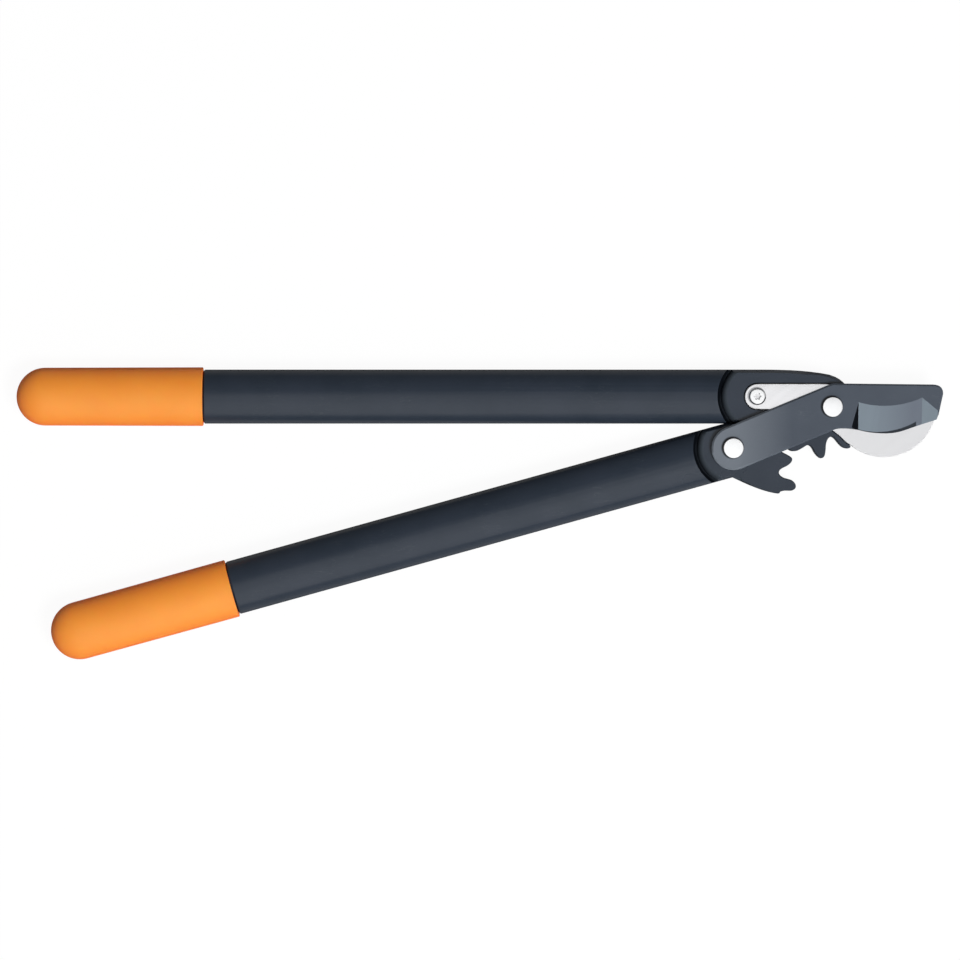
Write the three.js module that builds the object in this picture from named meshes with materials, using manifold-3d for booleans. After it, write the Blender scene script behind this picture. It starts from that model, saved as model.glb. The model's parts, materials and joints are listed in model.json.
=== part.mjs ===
// Geared bypass lopper, made as separate solids in millimetres. The tool lies flat on the plane z = 0
// with its jaws closed. The main pivot is the z axis, the handles run towards -x and the jaws towards +x.
import * as THREE from 'three';
import { mergeVertices } from 'three/addons/utils/BufferGeometryUtils.js';
import Module from 'manifold-3d';

const wasm = await Module();
wasm.setup();
const degree = Math.PI / 180;

// --- Driving dimensions ---

// Linkage: the blade turns on the main pivot and the lower handle turns on the blade's lever arm.
const armLength = 63.8;
const armAngle = 202.6 * degree;
const closedAngle = 15.5 * degree;
const gearRatio = 0.85; // turn of the lower handle on the arm for each degree that the blade opens

// Handles: hollow oval tubes, with a moulded grip over a thinner end.
const tubeWidth = 32.2;
const tubeThickness = 24;
const tubeWall = 2.4;
const gripWidth = 35;
const gripThickness = 27;
const gripWall = 2.4;
const gripLength = 111.3;
const gripTaper = 0.25; // taken off the grip's half width at its nose
const lipChamfer = 0.8; // on the edges where grip and tube meet
const upperGripEdge = 374.4; // from the main pivot
const lowerGripEdge = 309.8; // from the gear pivot
const upperAxisOffset = 6.3; // from the pivot to the handle's axis
const lowerAxisOffset = -0.6;
const boreDepthEnd = 80; // the tube's bore stops this far from the pivot

// Heads: flat plates with the gear teeth, let into the ends of the tubes.
const headThickness = 11.6;
const recessRadius = 24; // from the screw or the gear pivot to where the full tube starts again
const headEndRadius = 18; // from the same centre to where the head's end starts to round down
const headEndRound = 3.5;
const bossRadius = 15.8;
const lowerBossInset = 1.4; // keeps the lower boss inside the tube's rounded edge
const headBevel = 0.5;
const stopGap = 0.1; // left between the handles where they stop each other

// Hook: the fixed counter blade, screwed into a pocket of the upper head.
const hookThickness = 4.5;
const hookProud = 0.3; // stands this far out of the head, to carry the blade
const tangRadius = 7.5;
const pocketGap = 0.7;
const hookBevel = 0.4;
const hookScrewX = -44.5; // on the upper handle's axis

// Blade: a ground plate that is one piece with its lever arm.
const bladeThickness = 4;
const armHalfWidth = 13;
const edgeBevel = 1;
const grindSlope = 0.217;
const grindReach = 20; // how far the ground faces' cutters reach past what they cut
const grindRadius = 55;
const grindLowX = 30.5; // where the ground face is widest
const grindLowY = 0.65;
const shoulderX = 15.4;
const shoulderLean = 1.3; // the shoulder's run for each unit of its height
const ridgeX = 53.2;
const tipRise = 0.18;
const honedSlope = 0.36;
const honedRadius = 45;
const honedLowX = 27; // where the honed bevel is narrowest
const honedLowY = -14.8;
const honedEnd = 49.8;

// Fasteners: two pivot bolts with bushes, and the hook's screw.
const boltRadius = 4;
const boltHeadRadius = 5.9;
const boltHeadHeight = 2;
const boltHeadRound = 0.4;
const bushRadius = 5.6;
const nutFlats = 13;
const nutInset = 0.8; // from the nut to the end of its bolt
const washerRadius = 9;
const washerThickness = 1.2;
const springRadius = 7;
const springSlit = 8 * degree;
const slipRadius = 9.5;
const slipThickness = 0.8;
const screwRadius = 2.5;
const screwHeadRadius = 5.1;
const screwHeadHeight = 2.4;
const screwNutFlats = 8;
const screwNutHeight = 4;
const screwWasherRadius = 5;
const screwWasherThickness = 1;
const torxRadius = 1.8;
const torxDepth = 1.4;

// Clearances: between clamped faces, round a turning shaft, and between a piece and its housing.
const seat = 0.1;
const running = 0.08;
const housing = 0.3;

// --- Layers, from the plane that the tool lies on ---

const middle = gripThickness / 2;
const gripNose = gripWidth / 2 - gripTaper;
const gripInside = gripNose - gripWall;
const headFront = middle + headThickness / 2;
const headBack = middle - headThickness / 2;
const hookFront = headFront + hookProud;
const hookBack = hookFront - hookThickness;
const bladeBack = hookFront + seat;
const bladeFront = bladeBack + bladeThickness;
const gearPivot = new THREE.Vector2(Math.cos(armAngle), Math.sin(armAngle)).multiplyScalar(armLength);
const upperPitch = armLength * gearRatio / (1 + gearRatio);
const lowerPitch = armLength - upperPitch;
const beyond = 2 * armLength; // makes a cutter reach past what it cuts

// --- Solids and outlines ---

function solid(geometry) {
  const bare = new THREE.BufferGeometry();
  bare.setAttribute('position', geometry.getAttribute('position'));
  bare.setIndex(geometry.getIndex());
  const merged = mergeVertices(bare);
  const index = merged.getIndex().array;
  const corners = [];
  for (let i = 0; i < index.length; i += 3) {
    const [a, b, c] = index.slice(i, i + 3);
    if (a !== b && b !== c && c !== a) corners.push(a, b, c);
  }
  return new wasm.Manifold(new wasm.Mesh({
    numProp: 3,
    vertProperties: merged.getAttribute('position').array,
    triVerts: new Uint32Array(corners),
  }));
}

function geometryOf(body) {
  const { vertProperties, triVerts } = body.getMesh();
  const geometry = new THREE.BufferGeometry();
  geometry.setAttribute('position', new THREE.BufferAttribute(vertProperties, 3));
  geometry.setIndex(new THREE.BufferAttribute(triVerts, 1));
  geometry.computeVertexNormals();
  return geometry;
}

const points = (pairs) => pairs.map(([x, y]) => new THREE.Vector2(x, y));

function smooth(knots, steps = 3) {
  return new THREE.SplineCurve(knots).getPoints((knots.length - 1) * steps);
}

function arc(centre, radius, from, to, steps = 12) {
  return Array.from({ length: steps + 1 }, (_, i) => {
    const angle = from + (to - from) * i / steps;
    return new THREE.Vector2(centre.x + radius * Math.cos(angle), centre.y + radius * Math.sin(angle));
  });
}

function grown(outline, distance) {
  const count = outline.length;
  const turning = Math.sign(THREE.ShapeUtils.area(outline));
  return outline.map((point, i) => {
    const before = point.clone().sub(outline[(i + count - 1) % count]).normalize();
    const after = outline[(i + 1) % count].clone().sub(point).normalize();
    const out = new THREE.Vector2(before.y + after.y, -before.x - after.x).normalize();
    return out.multiplyScalar(distance * turning).add(point);
  });
}

function plate(outline, bottom, top, bevel = 0) {
  const geometry = new THREE.ExtrudeGeometry(new THREE.Shape(outline), {
    depth: top - bottom - 2 * bevel,
    bevelEnabled: bevel > 0,
    bevelThickness: bevel,
    bevelSize: bevel,
    bevelOffset: -bevel,
    bevelSegments: 1,
  });
  return solid(geometry.translate(0, 0, bottom + bevel));
}

function turned(profile, centre = new THREE.Vector2(), segments = 36) {
  const geometry = new THREE.LatheGeometry(profile, segments).rotateX(Math.PI / 2);
  return solid(geometry.translate(centre.x, centre.y, 0));
}

function rod(radius, bottom, top, centre, segments) {
  return turned(points([[0, bottom], [radius, bottom], [radius, top], [0, top]]), centre, segments);
}

function ring(inner, outer, bottom, top, centre) {
  const section = [[inner, bottom], [outer, bottom], [outer, top], [inner, top], [inner, bottom]];
  return turned(points(section), centre);
}

// A turned shape laid along -x and flattened to an oval, for the tubes and grips.
function oval(profile, thickness, width, axisOffset) {
  const geometry = new THREE.LatheGeometry(profile, 36).rotateZ(Math.PI / 2);
  geometry.scale(1, 1, thickness / width);
  return solid(geometry.translate(0, axisOffset, middle));
}

// The outline of the teeth. Each knot is the distance along the pitch circle from the line between
// the pivots, and the height above that circle, so both gears keep their mesh when a size changes.
function gearKnots(pitch, lineAngle, turn, knots) {
  return knots.map(([along, height]) => {
    const angle = lineAngle + turn * along / pitch;
    return new THREE.Vector2(Math.cos(angle), Math.sin(angle)).multiplyScalar(pitch + height);
  });
}

// --- Handles ---

// A tube with a rounded nose in front and a thinner, hollow end for the grip. The nose is given as
// radius and distance from the pivot, from the axis outwards.
function handleTube(gripEdge, axisOffset, nose) {
  const radius = tubeWidth / 2;
  const shoulder = gripEdge - housing;
  const body = [[radius, shoulder - lipChamfer], [radius - lipChamfer, shoulder], [0, shoulder]];
  const spigotRadius = gripInside - housing;
  const spigotEnd = gripEdge + gripLength - gripNose;
  const spigotStart = [[0, shoulder - gripWidth], [spigotRadius, shoulder]];
  const spigot = [...spigotStart, [spigotRadius, spigotEnd], [0, spigotEnd]];
  const boreRadius = spigotRadius - tubeWall;
  const boreNose = arc(new THREE.Vector2(0, boreDepthEnd + boreRadius), boreRadius, -Math.PI / 2, 0, 5);
  const bore = [...boreNose, ...points([[boreRadius, spigotEnd + 1], [0, spigotEnd + 1]])];
  return oval([...nose, ...points(body)], tubeThickness, tubeWidth, axisOffset)
    .add(oval(points(spigot), gripThickness, gripWidth, axisOffset))
    .subtract(oval(bore, gripThickness, gripWidth, axisOffset));
}

// Takes away the tube in front of the head's face. The head's end rounds down into a groove, which
// parts it from the full tube. The groove is only on the tube's side of the centre.
function recessCutter(centre) {
  const bottom = headFront - headEndRound;
  const round = arc(new THREE.Vector2(headEndRadius, bottom), headEndRound, Math.PI / 2, 0, 4);
  const rim = points([[recessRadius, bottom], [recessRadius, beyond], [0, beyond]]);
  const groove = turned([...points([[0, headFront]]), ...round, ...rim], centre, 56);
  const overlap = -1;
  const ahead = points([[overlap, -beyond], [beyond, -beyond], [beyond, beyond], [overlap, beyond]]);
  const front = plate(ahead.map((p) => p.add(centre)), headFront, beyond);
  return groove.trimByPlane([-1, 0, 0], -centre.x).add(front);
}

function recessed(body, centre) {
  const front = recessCutter(centre);
  const about = [0, 2 * centre.y, 2 * middle];
  const back = front.rotate([180, 0, 0]).translate(about);
  return body.subtract(front).subtract(back);
}

const headPlate = (outline) => plate(outline, headBack, headFront, headBevel);

function upperHead() {
  const teeth = gearKnots(upperPitch, armAngle, 1, [
    [-4.9, 13.7], [-1.5, 4.7], [1.8, -0.7], [4.9, -2.5], [7.4, -0.9], [9.1, 3.7], [10.5, 6.5],
    [12.5, 6.3], [14.6, 4.1], [16.1, 0.7], [17.4, -2.1], [19.2, -2.9], [21.5, -2.1], [23.9, -0.3],
    [26.3, 1.2], [28.4, 1.8], [29.9, 0.3], [30.1, -3.1], [29.7, -7.2], [30.7, -10.3], [33.4, -11.7],
    [36.7, -10.7], [39.9, -7.2], [42.2, -4.6], [45.3, -2.9], [47.5, -3.2],
  ]);
  const inTube = new THREE.Vector2(teeth[0].x, upperAxisOffset);
  const back = smooth(points([[-36, 19], [-13.2, 19.9], [-1.5, 18], [4.4, 15.3]]));
  return headPlate([...smooth(teeth), new THREE.Vector2(), inTube])
    .add(headPlate(arc(new THREE.Vector2(), bossRadius, 0, 2 * Math.PI, 40).slice(1)))
    .add(headPlate([inTube, new THREE.Vector2(), ...back.reverse()]));
}

function lowerHead() {
  const lineAngle = armAngle - Math.PI - closedAngle;
  const teeth = gearKnots(lowerPitch, lineAngle, -1, [
    [-24.1, -18.4], [-8.4, -12.5], [-2.4, -6.5], [0.6, -1.9], [2.7, -0.2], [4.9, -1.5], [7.5, -5.7],
    [10.5, -7.5], [14.4, -7.1], [16.4, -4.9], [17.9, -1.5], [19.4, 1.1], [21.7, 1.1], [24.4, -0.7],
    [27.1, -3.1], [29.5, -3.9], [31.3, -2.9], [31.8, -0.1], [31.2, 2.8], [30.8, 5.3], [31.5, 8.1],
    [33.1, 9.5], [35.2, 8.5], [37.3, 5.3], [39.2, 3.7], [40.9, 3.4], [45.6, -3.0], [53.0, -10.4],
    [68.0, -17.2],
  ]);
  const inTube = new THREE.Vector2(-tubeWidth / 2, lowerAxisOffset);
  return headPlate([...smooth(teeth), inTube])
    .add(headPlate(arc(new THREE.Vector2(), bossRadius - lowerBossInset, 0, 2 * Math.PI, 40).slice(1)));
}

function hookOutline() {
  const screw = new THREE.Vector2(hookScrewX, upperAxisOffset);
  const tang = arc(screw, tangRadius, -0.5 * Math.PI, -1.5 * Math.PI, 14);
  const inside = smooth(points([
    [-3.7, upperAxisOffset + tangRadius], [4, 12.6], [10.6, 8.6], [13.6, 2.6], [15, -3],
    [18.4, -8.4], [25.5, -11.7], [34.4, -12.5], [43.3, -11.1], [52.3, -8.4], [59.6, -5], [61.6, -5.2],
  ]));
  const belly = arc(new THREE.Vector2(30.9, 1.4), 31.2, -18 * degree, -129 * degree, 22);
  const neck = smooth(points([
    [7.6, -20.3], [4.7, -17.3], [0.2, -13.9], [-6, -9.9], [-20, -5.8], [-36, -1.6],
  ]));
  return [...tang, ...inside, ...belly, ...neck];
}

function upperHandle() {
  const screw = new THREE.Vector2(hookScrewX, upperAxisOffset);
  const nose = smooth(points([
    [0, -14.5], [2.2, -13.5], [5, -11], [7.9, -7.6], [10.4, -4.7], [13.1, 1.3], [14.9, 13.2],
    [15.8, 25.1], [tubeWidth / 2, 38],
  ]), 2);
  const tube = handleTube(upperGripEdge, upperAxisOffset, nose);
  const pocket = plate(grown(hookOutline(), pocketGap), hookBack - seat, beyond);
  return recessed(tube.add(upperHead()), screw)
    .subtract(pocket)
    .subtract(rod(bushRadius + seat, 0, beyond))
    .subtract(rod(screwRadius + running, 0, beyond, screw));
}

// The lower handle is made with the gear pivot as its origin and its axis along -x.
function lowerHandle() {
  const pivot = new THREE.Vector2();
  const nose = arc(pivot, tubeWidth / 2, -Math.PI / 2, 0, 9);
  const tube = handleTube(lowerGripEdge, lowerAxisOffset, nose);
  const slipSeat = rod(slipRadius + housing, bladeBack - seat - slipThickness - seat, beyond);
  return recessed(tube.add(lowerHead()), pivot)
    .subtract(slipSeat)
    .subtract(rod(bushRadius + seat, 0, beyond))
    .subtract(stopCutter());
}

// The flat of the lower handle that meets the upper one, seen from the lower handle's own frame.
function stopCutter() {
  const flat = upperAxisOffset - tubeWidth / 2 - stopGap - gearPivot.y;
  const corners = [[-beyond, flat], [beyond, flat], [beyond, beyond], [-beyond, beyond]];
  return plate(points(corners), 0, gripThickness).rotate([0, 0, -closedAngle / degree]);
}

function grip(gripEdge, axisOffset) {
  const noseCentre = new THREE.Vector2(0, gripEdge + gripLength - gripNose);
  const inner = arc(noseCentre, gripInside, Math.PI / 2, 0, 6);
  const outer = arc(noseCentre, gripNose, 0, Math.PI / 2, 10);
  const lip = [
    [gripInside, gripEdge],
    [gripWidth / 2 - lipChamfer / 2, gripEdge],
    [gripWidth / 2, gripEdge + lipChamfer],
  ];
  return oval([...inner, ...points(lip), ...outer], gripThickness, gripWidth, axisOffset);
}

// --- Blade ---

// Where the lever arm's straight side, on the given side of the line of pivots, crosses a height y.
function armSideAt(side, y) {
  const across = new THREE.Vector2(Math.sin(armAngle), -Math.cos(armAngle));
  across.multiplyScalar(side * armHalfWidth);
  return new THREE.Vector2(across.x + (y - across.y) / Math.tan(armAngle), y);
}

function bladeOutline() {
  const lever = arc(gearPivot, armHalfWidth, armAngle - Math.PI / 2, armAngle + Math.PI / 2, 20);
  const belly = smooth([armSideAt(-1, -14), ...points([
    [2.4, -13], [7.6, -12.7], [13.6, -13.3], [22.5, -15.1], [32.6, -15.7], [40.4, -14.6], [50.5, -11.2],
    [61.8, -7.5],
  ])]);
  const end = points([[63, -4.5]]);
  const corner = new THREE.QuadraticBezierCurve(...points([[65.7, 7.7], [65.9, 13.3], [59.4, 13.35]]));
  return [...lever, ...belly, ...end, ...corner.getPoints(7), armSideAt(1, 14)];
}

// Height, across the blade, of a hollow curve with its lowest point at (lowX, lowY).
function hollowAt(x, radius, lowX, lowY) {
  return lowY + radius - Math.sqrt(radius ** 2 - (x - lowX) ** 2);
}

// Height, across the blade, at which the ground face starts for a place along it.
function grindTop(x) {
  const start = hollowAt(Math.min(x, ridgeX), grindRadius, grindLowX, grindLowY);
  return start - Math.max(x - ridgeX, 0) * tipRise / grindSlope;
}

const honedTop = (x) => hollowAt(x, honedRadius, honedLowX, honedLowY);

// Places along the blade, from the shoulder to an end.
function stations(end) {
  return Array.from({ length: 13 }, (_, i) => shoulderX + (end - shoulderX) * i / 12);
}

// A cutter for a face that falls by the slope from a line drawn on the ground face.
function grindCutter(slope, top, along) {
  const length = 2 * grindReach;
  const height = (x) => bladeFront - grindSlope * (grindTop(x) - top(x)) + slope * (grindReach - top(x));
  const floor = along.map((x) => new THREE.Vector2(x, height(x)));
  const wallTop = new THREE.Vector2(shoulderX - shoulderLean * grindReach, floor[0].y + grindReach);
  const roof = new THREE.Vector2(along[along.length - 1], wallTop.y);
  const geometry = new THREE.ExtrudeGeometry(new THREE.Shape([...floor, roof, wallTop]), {
    depth: 1,
    bevelEnabled: false,
  });
  const across = new THREE.Vector3(0, -length, -slope * length);
  const axes = [new THREE.Vector3(1, 0, 0), new THREE.Vector3(0, 0, 1), across];
  const frame = new THREE.Matrix4().makeBasis(...axes).setPosition(0, grindReach, 0);
  return solid(geometry.applyMatrix4(frame));
}

function cuttingBlade() {
  const body = plate(bladeOutline(), bladeBack - edgeBevel, bladeFront, edgeBevel);
  const under = points([[-beyond, -beyond], [beyond, -beyond], [beyond, beyond], [-beyond, beyond]]);
  return body
    .subtract(plate(under, 0, bladeBack))
    .subtract(grindCutter(grindSlope, grindTop, [...stations(ridgeX), ridgeX + grindReach]))
    .subtract(grindCutter(honedSlope, honedTop, stations(honedEnd)))
    .subtract(rod(boltRadius + running, 0, beyond))
    .subtract(rod(boltRadius + running, 0, beyond, gearPivot));
}

function hook() {
  const screw = new THREE.Vector2(hookScrewX, upperAxisOffset);
  return plate(hookOutline(), hookBack, hookFront, hookBevel)
    .subtract(rod(boltRadius + running, 0, beyond))
    .subtract(rod(screwRadius + running, 0, beyond, screw));
}

// --- Fasteners ---

function pivotBolt() {
  const seatHeight = bladeFront + seat;
  const top = seatHeight + boltHeadHeight;
  const roundCentre = new THREE.Vector2(boltHeadRadius - boltHeadRound, top - boltHeadRound);
  const round = arc(roundCentre, boltHeadRound, 0, Math.PI / 2, 3);
  const shank = points([[0, 0], [boltRadius - 0.5, 0], [boltRadius, 0.5], [boltRadius, seatHeight]]);
  const underHead = new THREE.Vector2(boltHeadRadius, seatHeight);
  const profile = [...shank, underHead, ...round, new THREE.Vector2(0, top)];
  return turned(profile);
}

function hexNut(flats, bore, bottom, top) {
  const hexagon = arc(new THREE.Vector2(), flats / Math.sqrt(3), 0, 2 * Math.PI - Math.PI / 3, 5);
  return plate(hexagon, bottom, top, 0.5).subtract(rod(bore, 0, beyond));
}

function springWasher(bottom, top) {
  const outer = arc(new THREE.Vector2(), springRadius, springSlit / 2, 2 * Math.PI - springSlit / 2, 36);
  const bore = boltRadius + running;
  const inner = arc(new THREE.Vector2(), bore, 2 * Math.PI - springSlit / 2, springSlit / 2, 36);
  return plate([...outer, ...inner], bottom, top);
}

function torxRecess(top) {
  const lobes = Array.from({ length: 36 }, (_, i) => {
    const angle = i / 36 * 2 * Math.PI;
    const radius = torxRadius * (1 + 0.14 * Math.cos(6 * angle));
    return [radius * Math.cos(angle), radius * Math.sin(angle)];
  });
  return plate(points(lobes), top - torxDepth, beyond);
}

function hookScrew(end) {
  const seatHeight = hookFront + seat;
  const top = seatHeight + screwHeadHeight;
  const crown = arc(new THREE.Vector2(screwHeadRadius - 0.7, top - 0.7), 0.7, 0, Math.PI / 2, 4);
  const tip = points([[0, end], [screwRadius - 0.4, end], [screwRadius, end + 0.4]]);
  const underHead = points([[screwRadius, seatHeight], [screwHeadRadius, seatHeight]]);
  const profile = [...tip, ...underHead, ...crown, new THREE.Vector2(0, top)];
  return turned(profile).subtract(torxRecess(top));
}

// --- Assembly ---

const coating = new THREE.MeshStandardMaterial({ color: 0x5f676f, roughness: 0.42, metalness: 0.6 });
const steel = new THREE.MeshStandardMaterial({ color: 0xdfe2e4, roughness: 0.3, metalness: 0.9 });
const zinc = new THREE.MeshStandardMaterial({ color: 0xe9eaea, roughness: 0.28, metalness: 0.95 });
const handlePlastic = new THREE.MeshStandardMaterial({ color: 0x31383e, roughness: 0.5, metalness: 0 });
const gripPlastic = new THREE.MeshStandardMaterial({ color: 0xf2893f, roughness: 0.55, metalness: 0 });
const bushMetal = new THREE.MeshStandardMaterial({ color: 0xb08d55, roughness: 0.4, metalness: 0.9 });
const nylon = new THREE.MeshStandardMaterial({ color: 0xd8d6cc, roughness: 0.6, metalness: 0 });

function piece(parent, name, body, material) {
  const mesh = new THREE.Mesh(geometryOf(body), material);
  mesh.name = name;
  parent.add(mesh);
}

function pivotHardware(parent, name) {
  const washerBottom = headBack - seat - washerThickness;
  const springBottom = washerBottom - seat - washerThickness;
  const washer = ring(boltRadius + running, washerRadius, washerBottom, headBack - seat);
  const spring = springWasher(springBottom, washerBottom - seat);
  piece(parent, `${name}_bolt`, pivotBolt(), zinc);
  piece(parent, `${name}_washer`, washer, zinc);
  piece(parent, `${name}_spring_washer`, spring, zinc);
  piece(parent, `${name}_nut`, hexNut(nutFlats, boltRadius + seat, nutInset, springBottom - seat), zinc);
}

function hookHardware(parent) {
  const washerBottom = headBack - seat - screwWasherThickness;
  const nutTop = washerBottom - seat;
  const nutBottom = nutTop - screwNutHeight;
  const washer = ring(screwRadius + running, screwWasherRadius, washerBottom, headBack - seat);
  piece(parent, 'hook_screw', hookScrew(nutBottom - nutInset), zinc);
  piece(parent, 'hook_screw_washer', washer, zinc);
  piece(parent, 'hook_screw_nut', hexNut(screwNutFlats, screwRadius + seat, nutBottom, nutTop), zinc);
}

const lopper = new THREE.Group();

piece(lopper, 'upper_handle', upperHandle(), handlePlastic);
piece(lopper, 'upper_grip', grip(upperGripEdge, upperAxisOffset), gripPlastic);
piece(lopper, 'hook', hook(), steel);
piece(lopper, 'cutting_blade', cuttingBlade(), coating);
const mainBush = ring(boltRadius + running, bushRadius, headBack, hookBack - 2 * seat);
piece(lopper, 'main_pivot_bush', mainBush, bushMetal);
pivotHardware(lopper, 'main_pivot');

const screwPlace = new THREE.Group();
screwPlace.position.set(hookScrewX, upperAxisOffset, 0);
hookHardware(screwPlace);
lopper.add(screwPlace);

const gearPlace = new THREE.Group();
gearPlace.position.set(gearPivot.x, gearPivot.y, 0);
pivotHardware(gearPlace, 'gear_pivot');
lopper.add(gearPlace);

const lowerPlace = new THREE.Group();
lowerPlace.rotation.z = closedAngle;
piece(lowerPlace, 'lower_handle', lowerHandle(), handlePlastic);
piece(lowerPlace, 'lower_grip', grip(lowerGripEdge, lowerAxisOffset), gripPlastic);
const slipBottom = bladeBack - seat - slipThickness;
const gearBush = ring(boltRadius + running, bushRadius, headBack, slipBottom - seat);
piece(lowerPlace, 'gear_pivot_bush', gearBush, bushMetal);
const slipWasher = ring(boltRadius + running, slipRadius, slipBottom, bladeBack - seat);
piece(lowerPlace, 'gear_slip_washer', slipWasher, nylon);
gearPlace.add(lowerPlace);

export default lopper;
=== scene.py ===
# %% [markdown]
# # Geared bypass loppers
# A pair of long-handled loppers lies flat with its jaws closed. The measured model holds every solid
# and joint, and this lesson gives each solid its finished surface. The frame is loaded first, because
# every later piece takes its place and its size from it.

# %% Load the frame
import json
import math
from contextlib import contextmanager

import bmesh
import bpy
from mathutils import Matrix, Vector


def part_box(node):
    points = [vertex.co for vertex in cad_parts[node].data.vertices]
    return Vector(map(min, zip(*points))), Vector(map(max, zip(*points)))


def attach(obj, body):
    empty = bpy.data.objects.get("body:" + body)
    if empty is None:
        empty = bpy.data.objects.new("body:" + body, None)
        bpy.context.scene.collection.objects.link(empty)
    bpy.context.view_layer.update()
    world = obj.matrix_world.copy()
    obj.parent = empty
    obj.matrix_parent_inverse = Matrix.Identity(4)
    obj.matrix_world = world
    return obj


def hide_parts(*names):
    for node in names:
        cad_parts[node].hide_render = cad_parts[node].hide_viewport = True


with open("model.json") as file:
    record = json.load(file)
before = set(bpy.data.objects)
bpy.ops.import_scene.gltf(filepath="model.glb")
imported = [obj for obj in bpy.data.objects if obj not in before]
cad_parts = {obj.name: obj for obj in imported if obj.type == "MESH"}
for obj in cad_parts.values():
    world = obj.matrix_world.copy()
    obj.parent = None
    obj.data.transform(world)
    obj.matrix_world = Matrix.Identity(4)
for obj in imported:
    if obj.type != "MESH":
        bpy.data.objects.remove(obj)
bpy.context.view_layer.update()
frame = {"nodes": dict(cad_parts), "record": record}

MM = 0.001

# %% [markdown]
# ## Directions
# The upper handle lies along -X and the lower handle is turned from it by the closing angle. Spun pieces
# are drawn round Z and then stood up or laid down by a matrix.

# %% Standing and lying
CLOSED_ANGLE = math.radians(15.5)


def standing(node):
    """Puts a piece drawn round Z over the middle of a node, and leaves its heights alone."""
    low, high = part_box(node)
    return Matrix.Translation(((low.x + high.x) / 2, (low.y + high.y) / 2, 0))


def lying(pivot, turn, out, across, level):
    """Lays the Z axis along a handle, away from the jaws, with X across the handle's width."""
    along = Vector((-math.cos(turn), -math.sin(turn), 0))
    side = Vector((-math.sin(turn), math.cos(turn), 0))
    turned = Matrix((side, along.cross(side), along)).transposed().to_4x4()
    return Matrix.Translation(pivot + along * out + side * across + Vector((0, 0, level))) @ turned


main_pivot = standing("main_pivot_bolt").translation
gear_pivot = standing("gear_pivot_bolt").translation
screw_axis = standing("hook_screw").translation
middle = sum(corner.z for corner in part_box("upper_grip")) / 2
print("the pivots are", round((gear_pivot - main_pivot).length / MM, 2), "mm apart")

# %% [markdown]
# ## Wiring helpers
# Small helpers keep the node trees readable: one fills a node's sockets with values or links, one adds a
# node, and the others do the same for sums, vectors, ranges and noises.

# %% Adding nodes
def fill(tree, node, inputs):
    """Sets or links each socket. A node stands for its first output, and a list makes several links."""
    for key, value in inputs.items():
        for source in value if isinstance(value, list) else [value]:
            if isinstance(source, bpy.types.Node):
                source = source.outputs[0]
            if isinstance(source, bpy.types.NodeSocket):
                tree.links.new(source, node.inputs[key])
            else:
                node.inputs[key].default_value = source
    return node


def add(tree, kind, inputs=None, **settings):
    made = tree.nodes.new(kind)
    for key, value in settings.items():
        setattr(made, key, value)
    return fill(tree, made, inputs or {})


def sum_of(tree, operation, *values):
    return add(tree, "ShaderNodeMath", dict(enumerate(values)), operation=operation)


def vector_of(tree, operation, *values):
    return add(tree, "ShaderNodeVectorMath", dict(enumerate(values)), operation=operation)


def parts_of(tree, vector):
    return add(tree, "ShaderNodeSeparateXYZ", {"Vector": vector}).outputs


def combined(tree, x, y, z):
    return add(tree, "ShaderNodeCombineXYZ", {"X": x, "Y": y, "Z": z})


def mapped(tree, value, start, end, low=0.0, high=1.0, **settings):
    """Runs from low to high as a value goes from start to end, and stays there beyond them."""
    inputs = {"Value": value, "From Min": start, "From Max": end, "To Min": low, "To Max": high}
    return add(tree, "ShaderNodeMapRange", inputs, **settings)


def noise(tree, place, scale, detail, **more):
    return add(tree, "ShaderNodeTexNoise", {"Vector": place, "Scale": scale, "Detail": detail, **more})


def object_place(tree):
    return add(tree, "ShaderNodeTexCoord").outputs["Object"]


# %% Opening a group
NUMBER = "NodeSocketFloat"


def spaced(values):
    """Turns the names of arguments into the names of sockets."""
    return {label.replace("_", " "): value for label, value in values.items()}


def start_group(name, kind, inputs, numbers, outputs):
    tree = bpy.data.node_groups.new(name, kind)
    numbers = [(label, NUMBER, value) for label, value in spaced(numbers).items()]
    for label, socket_type, value in [*inputs, *numbers]:
        socket = tree.interface.new_socket(label, in_out="INPUT", socket_type=socket_type)
        if value is not None:
            socket.default_value = value
    for label, socket_type in outputs:
        tree.interface.new_socket(label, in_out="OUTPUT", socket_type=socket_type)
    return tree


def start_effect(name, *outputs, **numbers):
    """Opens a shader group whose sockets are all numbers."""
    return start_group(name, "ShaderNodeTree", [], numbers, [(label, NUMBER) for label in outputs])


# %% [markdown]
# ## Finishes that several materials share
# Moulded plastic has a fine spark-eroded grain and a seam where the halves of the mould met. Metal keeps
# the lines of the belt or the wheel that ground it. Anything handled has small scuffs. Each of these is
# one shader group, which every material uses with its own numbers.

# %% Grain and seam of moulded plastic
CLOUDS_PER_METRE = 45.0
SEAM_EDGE, SEAM_CREST = 0.4 * MM, 0.1 * MM
moulded = start_effect("moulded skin", "Height", "Cloud", Grain_per_metre=1800.0, Seam_height=middle,
                       Seam_strength=0.0)


def wire_moulded(tree):
    given = add(tree, "NodeGroupInput").outputs
    place = object_place(tree)
    grain = noise(tree, place, given["Grain per metre"], 3.0, Roughness=0.6)
    above = sum_of(tree, "SUBTRACT", parts_of(tree, place)["Z"], given["Seam height"])
    off_seam = sum_of(tree, "ABSOLUTE", above)
    seam = mapped(tree, off_seam, SEAM_EDGE, SEAM_CREST, interpolation_type="SMOOTHSTEP")
    raised = sum_of(tree, "MULTIPLY", seam, given["Seam strength"])
    add(tree, "NodeGroupOutput", {"Height": sum_of(tree, "ADD", grain, raised),
                                  "Cloud": noise(tree, place, CLOUDS_PER_METRE, 4.0)})


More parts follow.
